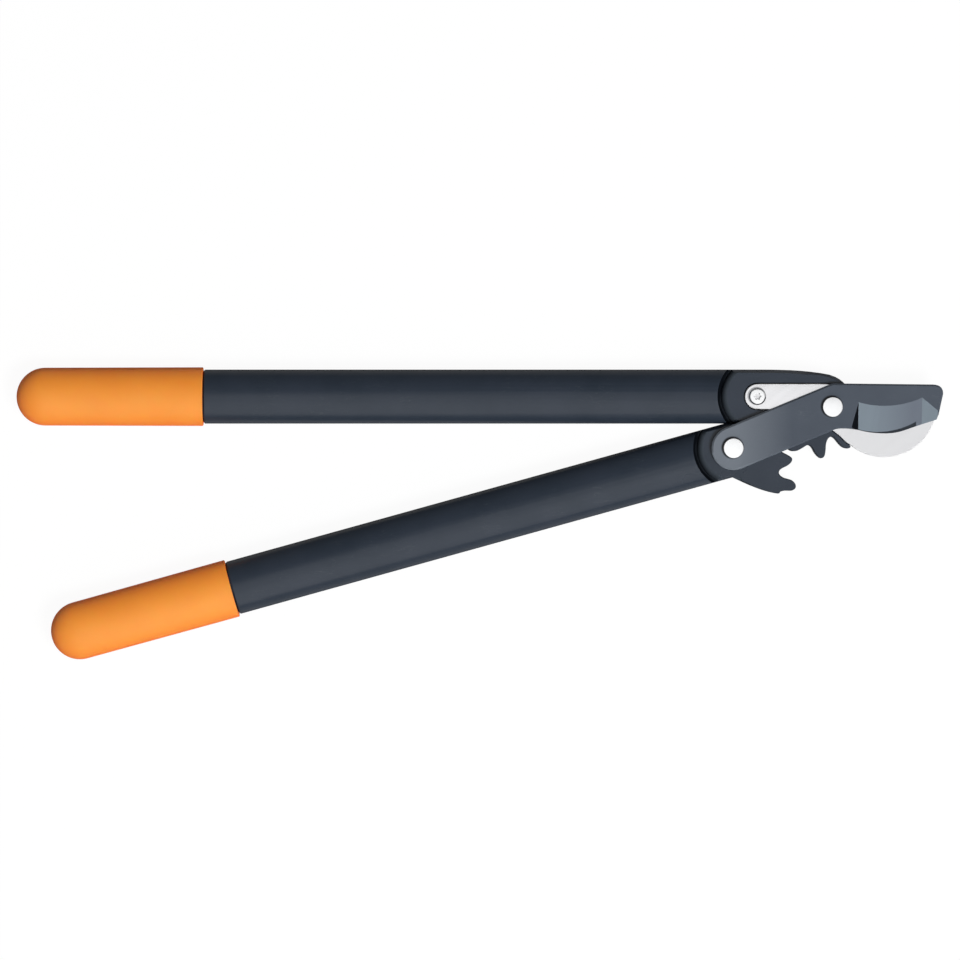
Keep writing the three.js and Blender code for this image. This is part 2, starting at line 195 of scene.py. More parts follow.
wire_moulded(moulded)

# %% Lines left by grinding
BROAD_SHARE = 0.13
ground = start_effect("ground lines", "Height", "Streak", Direction=0.0, Lines_per_metre=1500.0,
                      Stretch=40.0)


def wire_ground(tree):
    given = add(tree, "NodeGroupInput").outputs
    place = object_place(tree)
    turned = add(tree, "ShaderNodeVectorRotate", {"Vector": place, "Angle": given["Direction"]},
                 rotation_type="Z_AXIS")
    along = sum_of(tree, "DIVIDE", given["Lines per metre"], given["Stretch"])
    stretch = combined(tree, along, given["Lines per metre"], along)
    drawn = vector_of(tree, "MULTIPLY", turned, stretch)
    add(tree, "NodeGroupOutput", {"Height": noise(tree, drawn, 1.0, 2.0),
                                  "Streak": noise(tree, drawn, BROAD_SHARE, 3.0)})


wire_ground(ground)

# %% Scuffs from handling
SCRATCH_TILT, SCRATCH_STRETCH = (0.3, 0.2), (1.0, 9.0, 2.0)
CROSSING_SHARE = 1.6
PATCHES_PER_METRE, SMUDGES_PER_METRE = 55.0, 18.0
scuffed = start_effect("scuffs", "Scratch", "Smudge", Scratches_per_metre=60.0, Thinness=0.012,
                       Amount=0.5)


def scratch_lines(tree, place, angle, scale, thinness):
    """Thin lines, where a drawn-out noise passes through its middle value."""
    turned = add(tree, "ShaderNodeMapping", {"Vector": place, "Rotation": (*SCRATCH_TILT, angle),
                                             "Scale": SCRATCH_STRETCH})
    wave = noise(tree, turned, scale, 0.5)
    off_line = sum_of(tree, "ABSOLUTE", sum_of(tree, "SUBTRACT", wave, 0.5))
    return mapped(tree, off_line, thinness, 0.0)


def wire_scuffed(tree):
    given = add(tree, "NodeGroupInput").outputs
    place = object_place(tree)
    finer = sum_of(tree, "MULTIPLY", given["Scratches per metre"], CROSSING_SHARE)
    first = scratch_lines(tree, place, 0.5, given["Scratches per metre"], given["Thinness"])
    second = scratch_lines(tree, place, -0.9, finer, given["Thinness"])
    where = mapped(tree, noise(tree, place, PATCHES_PER_METRE, 2.0), 0.5, 0.68)
    both = sum_of(tree, "MULTIPLY", sum_of(tree, "MAXIMUM", first, second), where)
    add(tree, "NodeGroupOutput", {"Scratch": sum_of(tree, "MULTIPLY", both, given["Amount"]),
                                  "Smudge": noise(tree, place, SMUDGES_PER_METRE, 5.0, Distortion=0.8)})


wire_scuffed(scuffed)
print("shared finishes:", [tree.name for tree in (moulded, ground, scuffed)])

# %% [markdown]
# ## Materials
# Each material is one Principled shader. A number that is the same all over is set on the shader itself,
# and only what changes over the surface comes from the shared groups. A colour is its share of red, green
# and blue light.

# %% Helpers for a material
def start_material(name, **constants):
    material = bpy.data.materials.new(name)
    material.use_nodes = True
    tree = material.node_tree
    fill(tree, tree.nodes["Principled BSDF"], spaced(constants))
    print("material:", name)
    return material, tree


def dressed(material, colour, rough, height, depth):
    """Wires what changes over the surface: its colour, its roughness and a bump so many mm deep."""
    tree = material.node_tree
    bump = add(tree, "ShaderNodeBump", {"Height": height, "Strength": 1.0, "Distance": depth * MM})
    fill(tree, tree.nodes["Principled BSDF"], {"Base Color": colour, "Roughness": rough, "Normal": bump})
    return material


def effect(tree, group, **values):
    return add(tree, "ShaderNodeGroup", spaced(values), node_tree=group).outputs


# %% Helpers for colours and masks
SOFT_WINDOW, STREAK_WINDOW = (0.3, 0.7), (0.35, 0.65)


def between(tree, mask, dark, light, window=SOFT_WINDOW):
    """Runs from one colour to another as a mask goes from one end of a window to the other."""
    ramp = add(tree, "ShaderNodeValToRGB", {"Fac": mask})
    for end, position, colour in zip(ramp.color_ramp.elements, window, (dark, light)):
        end.position, end.color = position, (*colour, 1)
    return ramp


def laid_over(tree, mask, colour, top):
    """Lays a plain colour over another one where the mask is high."""
    return add(tree, "ShaderNodeMix", {0: mask, 6: colour, 7: (*top, 1)}, data_type="RGBA").outputs[2]


def spread(tree, mask, low, high):
    """Turns the middle range of a noise into a value from low to high."""
    return mapped(tree, mask, 0.25, 0.75, low, high)


def plain_finish(name, group, values, mask, dark, light, rough, depth, window=SOFT_WINDOW, **constants):
    """A finish from one shared effect, whose mask gives both the colour and the roughness."""
    material, tree = start_material(name, **constants)
    skin = effect(tree, group, **values)
    colour = between(tree, skin[mask], dark, light, window)
    return dressed(material, colour, spread(tree, skin[mask], *rough), skin["Height"], depth)


def handled_finish(name, values, marks, dark, light, scratch, rough, depth, **constants):
    """A finish whose skin gives its colour, and whose scuffs give its scratches and roughness."""
    material, tree = start_material(name, **constants)
    skin, marks = effect(tree, moulded, **values), effect(tree, scuffed, **marks)
    worn = laid_over(tree, marks["Scratch"], between(tree, skin["Cloud"], dark, light), scratch)
    return dressed(material, worn, spread(tree, marks["Smudge"], *rough), skin["Height"], depth)


# %% [markdown]
# ### Glass-filled nylon of the handles
# The handles are moulded in a dark blue-grey nylon with glass fibre. The fibre gives it a satin skin
# with faint clouds along the flow of the plastic. Seen at a glancing angle the fibre scatters light, so
# the skin turns matt there and mirrors nothing bright. The groove round each head is dull and painted
# nearly black, as painted shade: a number stored on the mesh, from 0 at the groove's rim to 1 at its
# wall, says how dark the shade is painted.

# %% Handle nylon
NYLON_GRAIN = 1500.0


def make_handle_nylon():
    material, tree = start_material("handle_nylon", Specular_IOR_Level=0.3)
    skin = effect(tree, moulded, Grain_per_metre=NYLON_GRAIN, Seam_strength=1.5)
    marks = effect(tree, scuffed, Amount=0.3)
    colour = between(tree, skin["Cloud"], (0.021, 0.029, 0.042), (0.026, 0.034, 0.049))
    worn = laid_over(tree, marks["Scratch"], colour, (0.07, 0.08, 0.09))
    glancing = add(tree, "ShaderNodeLayerWeight", {"Blend": 0.5}).outputs["Facing"]
    satin = spread(tree, marks["Smudge"], 0.26, 0.34)
    rough = sum_of(tree, "MAXIMUM", satin, mapped(tree, glancing, 0.4, 0.9))
    return dressed(material, worn, rough, skin["Height"], 0.025)


def make_groove_painted_shade():
    material, tree = start_material("groove_painted_shade", Specular_IOR_Level=0.0)
    skin = effect(tree, moulded, Grain_per_metre=NYLON_GRAIN)
    groove = add(tree, "ShaderNodeAttribute", attribute_name="groove").outputs["Fac"]
    # Painted shade: the groove darkens from its rim to near black at its wall.
    colour = between(tree, groove, (0.046, 0.056, 0.068), (0.0032, 0.0042, 0.006), (0.0, 0.8))
    return dressed(material, colour, 0.9, skin["Height"], 0.04)


handle_nylon = make_handle_nylon()
groove_painted_shade = make_groove_painted_shade()

# %% [markdown]
# ### Soft plastic of the grips
# The grips are moulded in a bright orange plastic that gives a little under the hand. Light gets a short
# way into it. Its skin is smooth but matt, and a reddish sheen keeps its sides as deep in colour as its
# middle.

# %% Grip plastic
orange_plastic = handled_finish("orange_plastic", {"Grain_per_metre": 1100.0, "Seam_strength": 2.0},
                                {"Amount": 0.15}, (0.83, 0.4, 0.04), (0.86, 0.43, 0.046),
                                (0.9, 0.42, 0.16), (0.48, 0.6), 0.02, Specular_IOR_Level=1.0,
                                Subsurface_Weight=0.4, Subsurface_Scale=0.003,
                                Subsurface_Radius=(1.0, 0.35, 0.1), Sheen_Weight=1.0,
                                Sheen_Roughness=1.0, Sheen_Tint=(1.0, 0.1, 0.02, 1.0))

# %% [markdown]
# ### Coating of the blade
# The blade and its lever arm carry a grey low-friction coating over blasted steel. The coating is matt,
# with fine speckles. It is painted a little lighter towards the gear pivot, as a painted highlight, and a
# painted shadow lies as a dark ring round each bolt head, a little to one side.

# %% Masks along the blade and round a bolt
# The painted shadow rings sit this far off the axes of the bolts and the screw, towards where shadow
# falls.
SHADOW_RING_OFFSET = Vector((-0.5, 0.3, 0)) * MM


def along_blade(tree, start, end):
    """A mask that rises from 0 at one place along the blade to 1 at another, in metres along X."""
    return mapped(tree, parts_of(tree, object_place(tree))["X"], start, end)


def painted_shadow_ring(tree, axis, full, gone):
    """A painted shadow ring: a mask that is 1 up to one distance from a bolt's axis and 0 from another, in
    mm.
    """
    aside = vector_of(tree, "SUBTRACT", object_place(tree), axis + SHADOW_RING_OFFSET)
    level = vector_of(tree, "MULTIPLY", aside, (1, 1, 0))
    away = vector_of(tree, "LENGTH", level).outputs["Value"]
    return mapped(tree, away, full * MM, gone * MM, 1.0, 0.0)


# %% Blade coating
# Where the painted highlight on the lever arm starts and ends, in metres along X.
PAINTED_HIGHLIGHT_SPAN = (-0.024, -0.058)


def make_blade_coat():
    material, tree = start_material("blade_coat", Specular_IOR_Level=0.3)
    skin = effect(tree, moulded, Grain_per_metre=2600.0)
    marks = effect(tree, scuffed, Amount=0.2, Scratches_per_metre=90.0)
    colour = between(tree, skin["Cloud"], (0.059, 0.071, 0.092), (0.066, 0.079, 0.101))
    # Painted highlight: the coat is painted lighter towards the gear pivot.
    painted_highlight = laid_over(tree, along_blade(tree, *PAINTED_HIGHLIGHT_SPAN), colour, (0.14, 0.159, 0.186))
    scratched = laid_over(tree, marks["Scratch"], painted_highlight, (0.22, 0.24, 0.26))
    # Painted shadow: a dark ring round the head of each pivot bolt.
    shadow_ring = sum_of(tree, "MAXIMUM", painted_shadow_ring(tree, main_pivot, full=6.2, gone=7.0),
                     painted_shadow_ring(tree, gear_pivot, full=6.2, gone=7.1))
    shadowed = laid_over(tree, shadow_ring, scratched, (0.007, 0.009, 0.012))
    return dressed(material, shadowed, spread(tree, marks["Smudge"], 0.4, 0.52), skin["Height"], 0.03)


blade_coat = make_blade_coat()

# %% [markdown]
# ### Ground steel of the blade
# The hollow face lost its coating at the wheel. Its colour darkens towards the ridge. The narrow honed
# band along the edge is painted dark, a painted reflection of the dim room, and the steep shoulder where
# the wheel came in is painted nearly black, as painted shade. All three show the wheel's lines.

# %% Ground and honed steel, and the painted shade of the shoulder
BLADE_LINES = {"Direction": math.radians(-80), "Lines_per_metre": 1900.0, "Stretch": 30.0}
HOLLOW_FADE, RIDGE, RIDGE_HALF = (0.022, 0.048), 0.0532, 0.0002
ROUGH_RANGE = 0.12


def make_ground_steel(name, dark, light, far, rough, depth):
    """Ground steel whose colour runs on to a far one along the hollow face, up to the ridge."""
    material, tree = start_material(name, Metallic=0.15, Specular_IOR_Level=0.2)
    lines = effect(tree, ground, **BLADE_LINES)
    colour = between(tree, lines["Streak"], dark, light, STREAK_WINDOW)
    before_ridge = along_blade(tree, RIDGE + RIDGE_HALF, RIDGE - RIDGE_HALF)
    fade = sum_of(tree, "MULTIPLY", along_blade(tree, *HOLLOW_FADE), before_ridge)
    roughness = spread(tree, lines["Streak"], rough, rough + ROUGH_RANGE)
    return dressed(material, laid_over(tree, fade, colour, far), roughness, lines["Height"], depth)


ground_steel = make_ground_steel("ground_steel", (0.178, 0.216, 0.252), (0.188, 0.228, 0.264),
                                 (0.13, 0.15, 0.184), 0.5, 0.01)
# Painted reflection: the honed band is painted dark, as if it mirrored the dim room.
honed_painted_dark = make_ground_steel("honed_painted_dark", (0.01, 0.013, 0.018), (0.014, 0.017, 0.023),
                                (0.02, 0.025, 0.032), 0.4, 0.006)
# Painted shade: the shoulder is painted nearly black.
shoulder_painted_shade = plain_finish("shoulder_painted_shade", ground, BLADE_LINES, "Streak", (0.004, 0.005, 0.007),
                              (0.006, 0.007, 0.009), (0.7, 0.85), 0.01, Specular_IOR_Level=0.0)

# %% [markdown]
# ### Bright steel of the hook
# The hook is uncoated. It was ground flat on a belt, so faint bright streaks run slantwise across it. Its
# colour is painted brighter towards its screw, a painted highlight, and a painted shadow rings the screw.
# Its narrow bevels were filed, which leaves them duller and whiter than the flats.

# %% Hook steel
HOOK_LINES = {"Direction": math.radians(-35), "Lines_per_metre": 1400.0, "Stretch": 45.0}
# Where the painted highlight towards the screw starts and ends, in metres along X.
PAINTED_GLEAM_SPAN = (0.01, -0.03)


def make_belt_ground_steel():
    material, tree = start_material("belt_ground_steel", Metallic=1.0)
    lines = effect(tree, ground, **HOOK_LINES)
    marks = effect(tree, scuffed, Amount=0.3, Scratches_per_metre=120.0)
    streaked = between(tree, lines["Streak"], (0.625, 0.627, 0.64), (0.645, 0.647, 0.66), STREAK_WINDOW)
    # Painted highlight: the hook is painted brighter towards its screw.
    painted_gleam = laid_over(tree, along_blade(tree, *PAINTED_GLEAM_SPAN), streaked, (0.71, 0.71, 0.725))
    scratched = laid_over(tree, marks["Scratch"], painted_gleam, (0.57, 0.575, 0.58))
    # Painted shadow: a dark ring round the head of the screw.
    shadow_ring = painted_shadow_ring(tree, screw_axis, full=5.2, gone=5.6)
    shadowed = laid_over(tree, shadow_ring, scratched, (0.35, 0.35, 0.36))
    return dressed(material, shadowed, spread(tree, lines["Streak"], 0.18, 0.24), lines["Height"], 0.01)


belt_ground_steel = make_belt_ground_steel()
filed_steel = plain_finish("filed_steel", ground, HOOK_LINES, "Streak", (0.74, 0.74, 0.75),
                           (0.8, 0.8, 0.81), (0.45, 0.55), 0.01, STREAK_WINDOW,
                           Metallic=0.2, Specular_IOR_Level=0.4)

# %% [markdown]
# ### Zinc, bronze and plain nylon
# The fasteners are bright zinc with small scuffs. The punched recess in the screw is duller, and it is
# painted darker as painted shade. The bushes are porous bronze, and the slip washer between the arm and
# the handle is undyed nylon.

# %% Zinc, bronze and plain nylon
def make_bronze():
    """Bronze whose pores are the low places of the grain."""
    material, tree = start_material("porous_bronze", Metallic=0.9)
    skin = effect(tree, moulded, Grain_per_metre=4200.0)
    colour = between(tree, skin["Height"], (0.22, 0.13, 0.05), (0.46, 0.3, 0.13), (0.35, 0.6))
    return dressed(material, colour, spread(tree, skin["Cloud"], 0.35, 0.5), skin["Height"], 0.04)


porous_bronze = make_bronze()
bright_zinc = handled_finish("bright_zinc", {"Grain_per_metre": 900.0},
                             {"Amount": 0.35, "Scratches_per_metre": 200.0, "Thinness": 0.02},
                             (0.79, 0.795, 0.805), (0.82, 0.825, 0.83), (0.6, 0.61, 0.62),
                             (0.16, 0.24), 0.005, Metallic=1.0)
# Painted shade: the drive's recess is dull zinc, painted darker.
recess_zinc_painted_shade = plain_finish("recess_zinc_painted_shade", moulded, {"Grain_per_metre": 1800.0}, "Cloud",
                            (0.62, 0.62, 0.63), (0.7, 0.7, 0.71), (0.5, 0.62), 0.01,
                            Specular_IOR_Level=0.3)
plain_nylon = plain_finish("plain_nylon", moulded, {"Grain_per_metre": NYLON_GRAIN}, "Cloud",
                           (0.66, 0.65, 0.6), (0.74, 0.73, 0.68), (0.45, 0.58), 0.02)

# %% [markdown]
# ## Putting a piece in place
# Every finished piece is a plain mesh whose object sits at the origin. It rides with the body of the
# solid that it stands for, and it takes its finishes as the materials of its mesh.

# %% Placing and cleaning a mesh
BODY_OF = {node: body for body, nodes in frame["record"]["behaviour"]["bodies"].items() for node in nodes}
SAME_PLACE = 1e-7


def linked(name, data):
    made = bpy.data.objects.new(name, data)
    bpy.context.scene.collection.objects.link(made)
    return made


def place_piece(mesh, name, node, finishes=()):
    mesh.name = name
    for finish in finishes:
        mesh.materials.append(finish)
    piece = linked(name, mesh)
    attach(piece, BODY_OF[node])
    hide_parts(node)
    print(name, "stands for", node, "with", len(mesh.polygons), "faces")


@contextmanager
def opened(mesh):
    """Opens a mesh for editing, and writes it back at the end."""
    work = bmesh.new()
    work.from_mesh(mesh)
    yield work
    work.to_mesh(mesh)
    work.free()


def creased(mesh, crease):
    """Shades a mesh smooth, and keeps the edges sharp that turn by more than a crease in degrees."""
    mesh.shade_smooth()
    mesh.set_sharp_from_angle(angle=math.radians(crease))
    return mesh


def cleaned(mesh, crease):
    """Closes seams and poles, points the faces outwards and shades them."""
    with opened(mesh) as work:
        bmesh.ops.remove_doubles(work, verts=work.verts, dist=SAME_PLACE)
        bmesh.ops.recalc_face_normals(work, faces=work.faces)
    return creased(mesh, crease)


# %% [markdown]
# ## Spinning a section
# Grips, bolts, washers and bushes are all turned shapes. A lathe would cut them from a drawn section,
# and Geometry Nodes can do the same: a grid takes one column for each point of the section and one row
# for each step round the axis, and every point of the grid is moved to its place by rule. The same tree
# also flattens the turn, which makes an oval grip out of a round one.

# %% The lathe tree
GEOMETRY = "NodeSocketGeometry"
BASIC_INPUTS = [("Section", GEOMETRY, None), ("Around", "NodeSocketInt", 64),
                ("Finish", "NodeSocketMaterial", None)]


def start_solid(name, **numbers):
    """Opens a tree that makes a solid from a section and from numbers of its own."""
    return start_group(name, "GeometryNodeTree", BASIC_INPUTS, numbers, [("Solid", GEOMETRY)])


def wire_end(tree, geometry, given):
    real = add(tree, "GeometryNodeRealizeInstances", {"Geometry": geometry})
    done = add(tree, "GeometryNodeSetMaterial", {"Geometry": real, "Material": given["Finish"]})
    add(tree, "NodeGroupOutput", {"Solid": done})


def wire_lathe(tree):
    given = add(tree, "NodeGroupInput").outputs
    size = add(tree, "GeometryNodeAttributeDomainSize", {"Geometry": given["Section"]})
    rows = sum_of(tree, "ADD", given["Around"], 1)
    grid = add(tree, "GeometryNodeMeshGrid", {"Vertices X": size.outputs["Point Count"],
                                              "Vertices Y": rows})
    index = add(tree, "GeometryNodeInputIndex")
    column = sum_of(tree, "FLOOR", sum_of(tree, "DIVIDE", sum_of(tree, "ADD", index, 0.5), rows))
    row = sum_of(tree, "SUBTRACT", index, sum_of(tree, "MULTIPLY", column, rows))
    place = add(tree, "GeometryNodeInputPosition")
    drawn = add(tree, "GeometryNodeSampleIndex", {"Geometry": given["Section"], "Value": place,
                                                  "Index": column}, data_type="FLOAT_VECTOR")
    point = parts_of(tree, drawn)
    angle = sum_of(tree, "DIVIDE", sum_of(tree, "MULTIPLY", row, 2 * math.pi), given["Around"])
    across = sum_of(tree, "MULTIPLY", point["X"], sum_of(tree, "COSINE", angle))
    round_off = sum_of(tree, "MULTIPLY", point["X"], sum_of(tree, "SINE", angle))
    flat = sum_of(tree, "MULTIPLY", round_off, given["Flatten"])
    turned = combined(tree, across, flat, point["Z"])
    moved = add(tree, "GeometryNodeSetPosition", {"Geometry": grid, "Position": turned})
    joined = add(tree, "GeometryNodeMergeByDistance", {"Geometry": moved, "Distance": 1e-6})
    wire_end(tree, joined, given)


lathe = start_solid("lathe", Flatten=1.0)
wire_lathe(lathe)
print("the lathe has", len(lathe.nodes), "nodes")

# %% [markdown]
# The section itself is a string of points, each with a radius and a height in millimetres. A real
# section never has a dead sharp corner, so a helper softens each corner by a small radius.

# %% Drawing and growing a section
def softened(points, radius, steps=4):
    made = [Vector(points[0])]
    for before, corner, after in zip(points, points[1:], points[2:]):
        corner = Vector(corner)
        back, on = Vector(before) - corner, Vector(after) - corner
        reach = min(radius, back.length / 2, on.length / 2)
        start, end = corner + back.normalized() * reach, corner + on.normalized() * reach
        for step in range(steps + 1):
            t = step / steps
            made.append(start * (1 - t) ** 2 + corner * 2 * t * (1 - t) + end * t * t)
    return [*made, Vector(points[-1])]


def plain_mesh(holder):
    """Turns an object into the plain mesh that its modifier makes of it."""
    graph = bpy.context.evaluated_depsgraph_get()
    mesh = bpy.data.meshes.new_from_object(holder.evaluated_get(graph), depsgraph=graph)
    bpy.data.objects.remove(holder)
    return mesh


def grow(tree, points, **sizes):
    """Draws a section and lets a tree work on it."""
    section = bpy.data.meshes.new("section")
    steps = [(i, i + 1) for i in range(len(points) - 1)]
    section.from_pydata([(across * MM, 0, up * MM) for across, up in points], steps, [])
    source = linked("section", section)
    modifier = source.modifiers.new(tree.name, "NODES")
    modifier.node_group = tree
    values = spaced(sizes)
    for socket in tree.interface.items_tree:
        if socket.name in values:
            modifier[socket.identifier] = values[socket.name]
    return plain_mesh(source)


# %% [markdown]
# ## Grips
# Each grip is a deep oval cup pushed over the thin end of the tube. Its section runs from the bottom of
# the hollow, round the open lip and along the tapered side to the round nose.

# %% The two grips
GRIP_HALF, GRIP_TAPER, GRIP_WALL, GRIP_LENGTH = 17.47, 0.25, 2.4, 111.3
GRIP_FLATTEN, LIP_ROUNDING, SIDE_STEPS = 27 / 35, 0.55, 10


def arc(height, radius, start, end, steps):
    """Points round a centre on the axis, from one angle to another, in degrees from straight out."""
    angles = [math.radians(start + (end - start) * i / steps) for i in range(steps + 1)]
    return [(radius * math.cos(angle), height + radius * math.sin(angle)) for angle in angles]


def grip_section():
    nose = GRIP_HALF - GRIP_TAPER
    centre = GRIP_LENGTH - nose
    hollow = arc(centre, nose - GRIP_WALL, 90, 0, steps=12)
    lip = softened([hollow[-1], (nose - GRIP_WALL, 0), (GRIP_HALF, 0), (nose, centre)], LIP_ROUNDING, 5)
    shares = [i / SIDE_STEPS for i in range(1, SIDE_STEPS)]
    side = [(GRIP_HALF - GRIP_TAPER * share, 1 + (centre - 1) * share) for share in shares]
    return [*hollow, *lip[1:-1], *side, *arc(centre, nose, 0, 90, steps=28)]


def make_grip(node, pivot, turn, out, across):
    mesh = grow(lathe, grip_section(), Around=96, Flatten=GRIP_FLATTEN, Finish=orange_plastic)
    mesh.transform(lying(pivot, turn, out * MM, across * MM, middle))
    place_piece(cleaned(mesh, crease=60), node + "_sleeve", node)


make_grip("upper_grip", main_pivot, 0, out=374.4, across=6.3)
make_grip("lower_grip", gear_pivot, CLOSED_ANGLE, out=309.8, across=-0.6)

# %% [markdown]
# ## Threads, nuts and drives
# A thread is a ridge that follows a helix, so it is a curve with a small section swept along it. A nut is
# a turned ring whose outside is cut to six flats, which leaves the curved corners that real nuts have.
# The drive in the hook's screw is a lobed hole cut out of the turned head. Each tree calls the lathe tree.

# %% Tree for threads
THREAD_STEPS, RIDGE_SHARE = 40, 0.42


def call_lathe(tree, given):
    inputs = {label: given[label] for label, *_ in BASIC_INPUTS}
    return add(tree, "GeometryNodeGroup", inputs, node_tree=lathe)


def ring_path(tree, steps, turns, radius, height):
    return add(tree, "GeometryNodeCurveSpiral", {"Resolution": steps, "Rotations": turns, "Height": height,
                                                 "Start Radius": radius, "End Radius": radius})


def swept(tree, path, profile):
    return add(tree, "GeometryNodeCurveToMesh", {"Curve": path, "Profile Curve": profile,
                                                 "Fill Caps": True})


def lifted(tree, geometry, height):
    lift = combined(tree, 0.0, 0.0, height)
    return add(tree, "GeometryNodeTransform", {"Geometry": geometry, "Translation": lift})


def wire_threaded(tree):
    given = add(tree, "NodeGroupInput").outputs
    turns = sum_of(tree, "DIVIDE", given["Thread length"], given["Pitch"])
    helix = ring_path(tree, THREAD_STEPS, turns, given["Thread radius"], given["Thread length"])
    ridge = sum_of(tree, "MULTIPLY", given["Pitch"], RIDGE_SHARE)
    shape = add(tree, "GeometryNodeCurvePrimitiveCircle", {"Resolution": 4, "Radius": ridge})
    thread = lifted(tree, swept(tree, helix, shape), given["Thread start"])
    both = add(tree, "GeometryNodeJoinGeometry", {0: [thread, call_lathe(tree, given)]})
    wire_end(tree, both, given)


threaded = start_solid("threaded bolt", Pitch=1.25 * MM, Thread_radius=3.6 * MM, Thread_start=0.0,
                       Thread_length=7 * MM)
wire_threaded(threaded)

# %% Trees for nuts and drives
TALLER_THAN_A_NUT = 0.1
LOBES, LOBE_DEPTH = 6.0, 0.15


def wire_nut(tree):
    given = add(tree, "NodeGroupInput").outputs
    corner = sum_of(tree, "DIVIDE", given["Flats"], math.sqrt(3))
    prism = add(tree, "GeometryNodeMeshCylinder", {"Vertices": 6, "Radius": corner,
                                                   "Depth": TALLER_THAN_A_NUT})
    cut = add(tree, "GeometryNodeMeshBoolean", {"Mesh 2": [call_lathe(tree, given), prism]},
              operation="INTERSECT", solver="MANIFOLD")
    wire_end(tree, cut, given)


def wire_driven(tree):
    given = add(tree, "NodeGroupInput").outputs
    rod = add(tree, "GeometryNodeMeshCylinder", {"Vertices": 96, "Radius": given["Drive radius"],
                                                 "Depth": given["Drive depth"]})
    place = add(tree, "GeometryNodeInputPosition")
    point = parts_of(tree, place)
    angle = sum_of(tree, "ARCTAN2", point["Y"], point["X"])
    wave = sum_of(tree, "COSINE", sum_of(tree, "MULTIPLY", angle, LOBES))
    grow_by = sum_of(tree, "ADD", sum_of(tree, "MULTIPLY", wave, LOBE_DEPTH), 1.0)
    lobed = vector_of(tree, "MULTIPLY", place, combined(tree, grow_by, grow_by, 1.0))
    star = add(tree, "GeometryNodeSetPosition", {"Geometry": rod, "Position": lobed})
    tool = lifted(tree, star, given["Drive top"])
    cut = add(tree, "GeometryNodeMeshBoolean", {"Mesh 1": call_lathe(tree, given), "Mesh 2": tool},
              operation="DIFFERENCE", solver="MANIFOLD")
    wire_end(tree, cut, given)


nut = start_solid("hexagon nut", Flats=13 * MM)
driven = start_solid("driven head", Drive_radius=1.8 * MM, Drive_depth=2.8 * MM, Drive_top=0.0)
wire_nut(nut)
wire_driven(driven)
print("trees:", [tree.name for tree in (threaded, nut, driven)])

# %% [markdown]
# ## Pivot bolts, washers and nuts
# Each pivot has a flat-headed bolt in front, and at the back a wide washer, a split spring washer and a
# nut. The spring washer is a flat ring cut through at a slant, so it is a strip swept round a short helix.

# %% Split ring tree
SPRING_RISE, STRIP_ROUNDING = 0.1 * MM, 0.2 * MM


def wire_split_ring(tree):
    given = add(tree, "NodeGroupInput").outputs
    helix = ring_path(tree, given["Around"], given["Turns"], given["Radius"], SPRING_RISE)
    strip = add(tree, "GeometryNodeCurvePrimitiveQuadrilateral", {"Width": given["Band"],
                                                                  "Height": given["Thickness"]})
    eased = add(tree, "GeometryNodeFilletCurve", {"Curve": strip, "Count": 3,
                                                  "Radius": STRIP_ROUNDING}, mode="POLY")
    centre = sum_of(tree, "ADD", given["Bottom"], sum_of(tree, "DIVIDE", given["Thickness"], 2.0))
    wire_end(tree, lifted(tree, swept(tree, helix, eased), centre), given)


split_ring = start_solid("split ring", Radius=5.5 * MM, Band=2.8 * MM, Thickness=1.1 * MM,
                         Turns=0.985, Bottom=5 * MM)
wire_split_ring(split_ring)


def turned_size(node):
    """The radius, the bottom and the top of an upright round node, in mm."""
    low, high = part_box(node)
    return (high.x - low.x) / 2 / MM, low.z / MM, high.z / MM


def stand(mesh, node, ending, crease, finishes=()):
    """Stands a turned mesh over its node, cleans it and places it."""
    mesh.transform(standing(node))
    place_piece(cleaned(mesh, crease), node + ending, node, finishes)


def turned_ring(node, bore, edge, finish=bright_zinc):
    """A washer or a bush. Its closed section starts halfway up its bore."""
    outer, bottom, top = turned_size(node)
    half = (bottom + top) / 2
    section = [(bore, half), (bore, bottom), (outer, bottom), (outer, top), (bore, top), (bore, half)]
    mesh = grow(lathe, softened(section, edge), Around=72, Finish=finish)
    stand(mesh, node, "_ring", crease=40)


# %% Nuts and spring washers
NUT_FACE, NUT_SLOPE, NUT_SPARE = 0.985, math.radians(30), 0.01


def nut_piece(node, flats, bore, pitch):
    """A nut with flat ends just inside its flats. Its corners slope away from them."""
    _, bottom, top = turned_size(node)
    corner, face = flats / math.sqrt(3), flats / 2 * NUT_FACE
    drop = (corner - face) * math.tan(NUT_SLOPE)
    half = (bottom + top) / 2
    bevel = pitch / 2
    past = corner + NUT_SPARE
    section = [(bore, half), (bore, bottom + bevel), (bore + bevel, bottom), (face, bottom),
               (past, bottom + drop), (past, top - drop), (face, top), (bore + bevel, top),
               (bore, top - bevel), (bore, half)]
    mesh = grow(nut, section, Around=120, Flats=flats * MM, Finish=bright_zinc)
    stand(mesh, node, "_hexagon", crease=25)


def spring_washer(node):
    _, bottom, top = turned_size(node)
    mesh = grow(split_ring, [(0, 0), (0, 1)], Around=72, Bottom=bottom * MM,
                Thickness=(top - bottom) * MM - SPRING_RISE, Finish=bright_zinc)
    stand(mesh, node, "_split", crease=35)


# %% Pivot bolts
BOLT_HEAD, BOLT_SHANK, BOLT_CORE, BOLT_PITCH, BOLT_THREAD = 2.0, 4.0, 3.35, 1.25, 7.0
THREAD_OUT, THREAD_START, THREAD_STOP = 0.1, 0.75, 0.5


